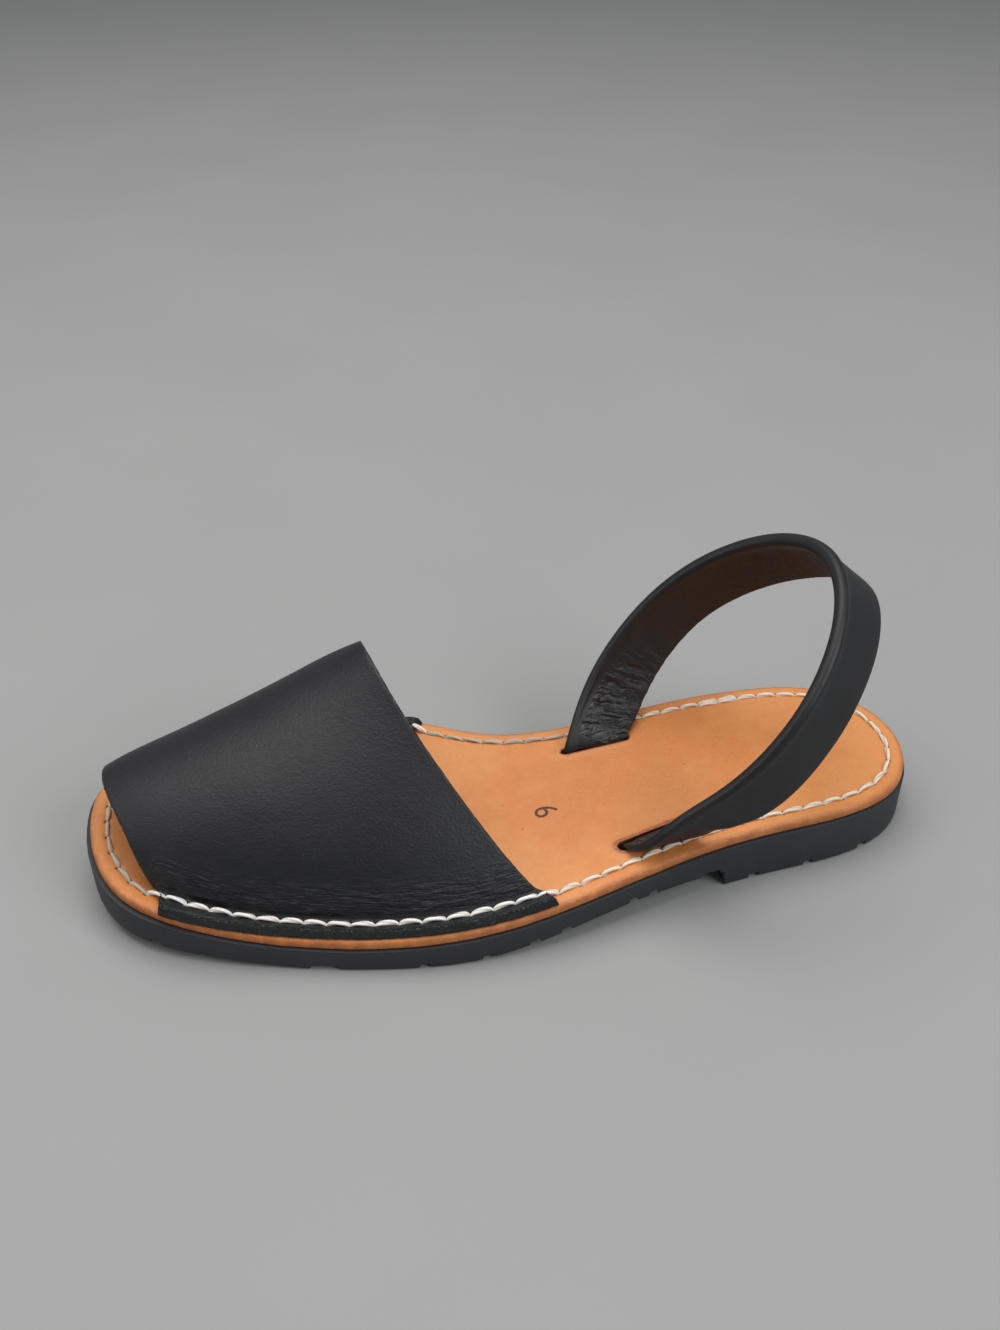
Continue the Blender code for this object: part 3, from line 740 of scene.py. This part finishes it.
def two_ply_tube(shape, places, sides):
    """A closed tube of two twisted strands: each place is a matrix that sets one section."""
    strand = shape.verts.layers.float["strand"]
    before = []
    for number, place in enumerate(places):
        ends = number in (0, len(places) - 1)
        ring = bmesh.ops.create_circle(shape, cap_ends=ends, segments=sides, radius=1)["verts"]
        for vert in ring:
            vert[strand] = 1 - abs(vert.co.y) ** 3
            vert.co *= 1 - PLY_GROOVE * abs(vert.co.y) ** 3
        bmesh.ops.transform(shape, matrix=place, verts=ring)
        edges = list({e: None for v in ring for e in v.link_edges})
        if before:
            bmesh.ops.bridge_loops(shape, edges=before + edges)
        before = edges


def stitch_form(turn_start):
    """One stitch along +X between two holes, half a pitch to each side, bowed up towards +Z."""
    shape = bmesh.new()
    shape.verts.layers.float.new("strand")
    places = []
    for share in np.linspace(-1, 1, THREAD_RINGS):
        slope = THREAD_DIVE * share * abs(share)
        x = 0.5 * STITCH_PITCH * math.sin(0.5 * math.pi * share) * STITCH_SHARE
        y = THREAD_SWEEP * (1 - share ** 2)
        z = THREAD_BOW - (THREAD_BOW + THREAD_SINK) * abs(share) ** 2.6
        turn = turn_start + math.pi * THREAD_TURNS * share
        radius = 0.5 * THREAD_THICKNESS * (MIDDLE_SWELL - END_TAPER * abs(share) ** 2.2)
        lay = Matrix.Rotation(0.5 * math.pi + slope, 4, "Y") @ Matrix.Rotation(turn, 4, "Z")
        places.append(Matrix.Translation((x, y, z)) @ lay @ Matrix.Diagonal((radius, radius, 1, 1)))
    two_ply_tube(shape, places, THREAD_SIDES)
    bmesh.ops.recalc_face_normals(shape, faces=shape.faces)
    mesh = bpy.data.meshes.new("stitch_form")
    shape.to_mesh(mesh)
    shape.free()
    return mesh


def thread_finish():
    material, shader, place = new_finish("waxed_thread")
    tone, strand = stored(place, "tone"), stored(place, "strand")
    fibre = place.noise(2600, 3, 0.6)
    colour = tone.between(0.0, 1.0).mix(GREY_THREAD, CREAM)
    colour = tone.between(1.0, 2.0).mix(colour, WHITE_THREAD)
    hollow = (1 - strand.between(0.0, 0.6)) * 0.65 + fibre.between(0.45, 0.7) * 0.15
    hollow.mix(colour, CREAM_SHADE).into(shader, "Base Color")
    (0.55 + 0.15 * fibre).into(shader, "Roughness")
    (fibre * 0.00006).bump_into(shader)
    return material


# One stitch from each needle hole to the next, on the leather that lies there.
surface = ray_tree(insole, upper)
random.seed(6)
forms = [stitch_form(turn) for turn in (0.0, 0.7, 1.4, 2.1)]
shape = bmesh.new()
tone_layer = shape.verts.layers.float.new("tone")
seats = []
for hole in needle_holes:
    start = Vector((hole[0], hole[1], hole[2] + 0.0060))
    spot, normal = surface.ray_cast(start, (0, 0, -1))[:2]
    seats.append((spot, normal))
for number, (spot, normal) in enumerate(seats):
    next_spot, next_normal = seats[(number + 1) % stitch_count]
    forward = next_spot - spot
    length = forward.length
    forward.normalize()
    up = (normal + next_normal).normalized()
    side = up.cross(forward).normalized()
    up = forward.cross(side)
    turned = Matrix((forward, side, up)).transposed().to_4x4()
    middle = 0.5 * (spot + next_spot)
    sewn_over = nearest([middle[:]], seam)[1][0] < 0.0035
    at_toe = middle.x > 0.098 or (middle.y < 0 and -0.03 < middle.x < 0.02)
    tone = 2.0 if sewn_over else (0.35 if at_toe else 1.0)
    tone += random.uniform(-0.12, 0.05)
    stretch = Matrix.Diagonal((length / STITCH_PITCH, 1, random.uniform(0.94, 1.06), 1))
    lay = Matrix.Rotation(THREAD_LAY + math.radians(random.uniform(-2, 2)), 4, "Z")
    doubled = middle.y < 0 and DOUBLED_AT[0] < middle.x < DOUBLED_AT[1]
    for apart in ((-DOUBLED_APART, DOUBLED_APART) if doubled else (0,)):
        known = len(shape.verts)
        shape.from_mesh(forms[number % len(forms)])
        shape.verts.ensure_lookup_table()
        new = shape.verts[known:]
        for vert in new:
            vert[tone_layer] = tone
        place = Matrix.Translation(middle) @ turned @ Matrix.Translation((0, apart, 0)) @ lay @ stretch
        bmesh.ops.transform(shape, matrix=place, verts=new)
thread = finished(shape, "rim_thread", [thread_finish()], 80)
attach(thread, "root")


# Size stamp. The size number is pressed into the insole with a hot brass type, which leaves a thin
# brown line. The type is 7 mm tall and reads from the inner side.

STAMP_HEIGHT = 0.0072
SIZE_OVER_FIGURE = 1.38
STAMP_PLACE = (-0.0088, 0.0083)
STAMP_TURN = math.radians(99)
STAMP_LIFT = 0.00006
STAMP_BROWN = (0.060, 0.016, 0.012, 1)


def stamp_finish():
    material, shader, place = new_finish("stamp_brown")
    ink = place.noise(1400, 3, 0.7).between(0.42, 0.58)
    (ink * 0.30).mix(STAMP_BROWN, TAN_EDGE).into(shader, "Base Color")
    (0.5 + 0.2 * ink).into(shader, "Roughness")
    (ink * 0.00004).bump_into(shader)
    return material


text = bpy.data.curves.new("size_type", "FONT")
text.body = "6"
text.size = STAMP_HEIGHT * SIZE_OVER_FIGURE
text.align_x = "CENTER"
text.align_y = "CENTER"
text.offset = -0.00004
text.resolution_u = 6
typed = bpy.data.objects.new("size_type", text)
bpy.context.scene.collection.objects.link(typed)
mesh = typed.evaluated_get(bpy.context.evaluated_depsgraph_get()).to_mesh()
shape = bmesh.new()
shape.from_mesh(mesh)
bpy.data.objects.remove(typed)
bmesh.ops.subdivide_edges(shape, edges=[e for e in shape.edges if e.calc_length() > 0.001], cuts=2)
bmesh.ops.transform(
    shape, verts=shape.verts,
    matrix=Matrix.Translation((*STAMP_PLACE, 0)) @ Matrix.Rotation(STAMP_TURN, 4, "Z"))
for vert in shape.verts:
    spot = surface.ray_cast(Vector((vert.co.x, vert.co.y, 0.03)), (0, 0, -1))[0]
    vert.co.z = spot.z + STAMP_LIFT
stamp = finished(shape, "size_stamp", [stamp_finish()], 60)
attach(stamp, "root")


# Studio. A plain pale floor, one broad soft light overhead and towards the toe, a fill from the
# camera's side and a pale surround. The camera stands where the photograph was taken from.

FLOOR_COLOUR = (0.300, 0.302, 0.297, 1)
FLOOR_PALE = (0.325, 0.327, 0.321, 1)
CAMERA_PLACE = Vector((0.04928, 0.28203, 0.27402))
CAMERA_TARGET = Vector((-0.00437, -0.04269, 0.03000))
CAMERA_ROLL = math.radians(-0.33)
FOCAL_PIXELS = 1313.1
IMAGE_HEIGHT = 1330
SENSOR = 36.0

shape = bmesh.new()
bmesh.ops.create_grid(shape, x_segments=8, y_segments=8, size=2.5)
material, shader, place = new_finish("pale_floor")
dapple = place.noise(9, 3, 0.5)
(dapple.between(0.3, 0.7) * 0.4).mix(FLOOR_COLOUR, FLOOR_PALE).into(shader, "Base Color")
(0.62 + 0.06 * dapple).into(shader, "Roughness")
floor = finished(shape, "floor", [material])

for name, place, target, width, power, colour in (
        ("overhead", (0.14, -0.24, 1.20), (0, 0, 0.03), 1.20, 13.5, (1.0, 0.985, 0.97)),
        ("camera_side", (-0.80, 0.75, 0.90), (0, 0, 0.03), 0.8, 9.5, (0.97, 0.985, 1.0)),
        ("toe_side", (1.05, 0.10, 0.60), (0, 0, 0.03), 0.7, 2.5, (1.0, 1.0, 1.0))):
    lamp = bpy.data.lights.new(name, "AREA")
    lamp.shape = "SQUARE"
    lamp.size = width
    lamp.energy = power
    lamp.color = colour
    holder = bpy.data.objects.new(name, lamp)
    holder.location = place
    holder.rotation_euler = (Vector(target) - Vector(place)).to_track_quat("-Z", "Y").to_euler()
    bpy.context.scene.collection.objects.link(holder)

world = bpy.data.worlds.new("surround")
world.use_nodes = True
world.node_tree.nodes["Background"].inputs["Color"].default_value = (0.80, 0.83, 0.86, 1)
world.node_tree.nodes["Background"].inputs["Strength"].default_value = 0.30
bpy.context.scene.world = world
bpy.context.scene.view_settings.view_transform = "Standard"

lens = bpy.data.cameras.new("camera")
lens.sensor_fit = "VERTICAL"
lens.sensor_height = SENSOR
lens.sensor_width = SENSOR
lens.lens = SENSOR * FOCAL_PIXELS / IMAGE_HEIGHT
lens.clip_start = 0.01
camera = bpy.data.objects.new("camera", lens)
look = (CAMERA_TARGET - CAMERA_PLACE).to_track_quat("-Z", "Y").to_matrix()
turned = look @ Matrix.Rotation(CAMERA_ROLL, 3, "Z")
camera.matrix_world = Matrix.Translation(CAMERA_PLACE) @ turned.to_4x4()
bpy.context.scene.collection.objects.link(camera)
bpy.context.scene.camera = camera
